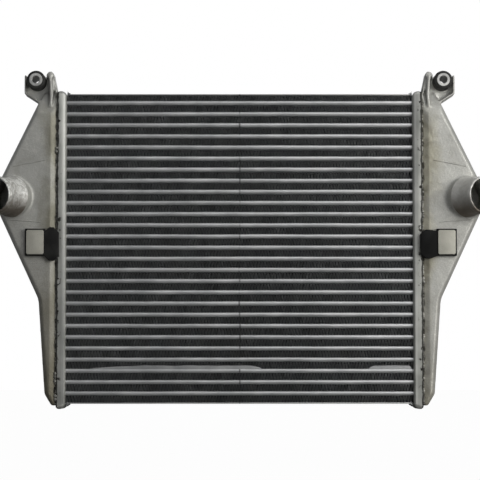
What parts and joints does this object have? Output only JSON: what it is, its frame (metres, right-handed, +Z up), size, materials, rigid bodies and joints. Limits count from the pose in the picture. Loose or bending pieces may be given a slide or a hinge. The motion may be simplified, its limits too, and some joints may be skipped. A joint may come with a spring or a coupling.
{
  "type": "intercooler",
  "caption": "Air-to-air charge cooler with flat tubes, folded fins, cast end tanks with tilted hose spigots and rubber-isolated mounting lugs.",
  "frame": {"origin": "midway between the two lug bores, in the middle plane of the core", "axes": "+X to the right seen from the spigots' side, -Y out of the side with the spigots, +Z up"},
  "size_m": [0.895, 0.1214, 0.5866],
  "materials": {
    "tanks": "rough sand cast",
    "headers": "mill",
    "tubes": "mill, dulled",
    "air_fins": "dirty",
    "side_plates": "mill",
    "isolator_rubber": "matt",
    "isolator_sleeves": "turned",
    "pads": "matt",
    "pad_plates": "dull"
  },
  "bodies": {
    "root": {"air_fins": "air_fins", "bottom_side_plate": "side_plates", "isolator_sleeves": "isolator_sleeves", "isolators": "isolator_rubber", "left_header": "headers", "left_pad": "pads", "left_pad_plate": "pad_plates", "left_tank": "tanks", "right_header": "headers", "right_pad": "pads", "right_pad_plate": "pad_plates", "right_tank": "tanks", "top_side_plate": "side_plates", "tube_01": "tubes", "tube_02": "tubes", "tube_03": "tubes", "tube_04": "tubes", "tube_05": "tubes", "tube_06": "tubes", "tube_07": "tubes", "tube_08": "tubes", "tube_09": "tubes", "tube_10": "tubes", "tube_11": "tubes", "tube_12": "tubes", "tube_13": "tubes", "tube_14": "tubes", "tube_15": "tubes", "tube_16": "tubes", "tube_17": "tubes", "tube_18": "tubes", "tube_19": "tubes", "tube_20": "tubes", "tube_21": "tubes", "tube_22": "tubes", "tube_23": "tubes", "tube_24": "tubes", "tube_25": "tubes", "tube_26": "tubes", "tube_27": "tubes"}
  },
  "joints": []
}
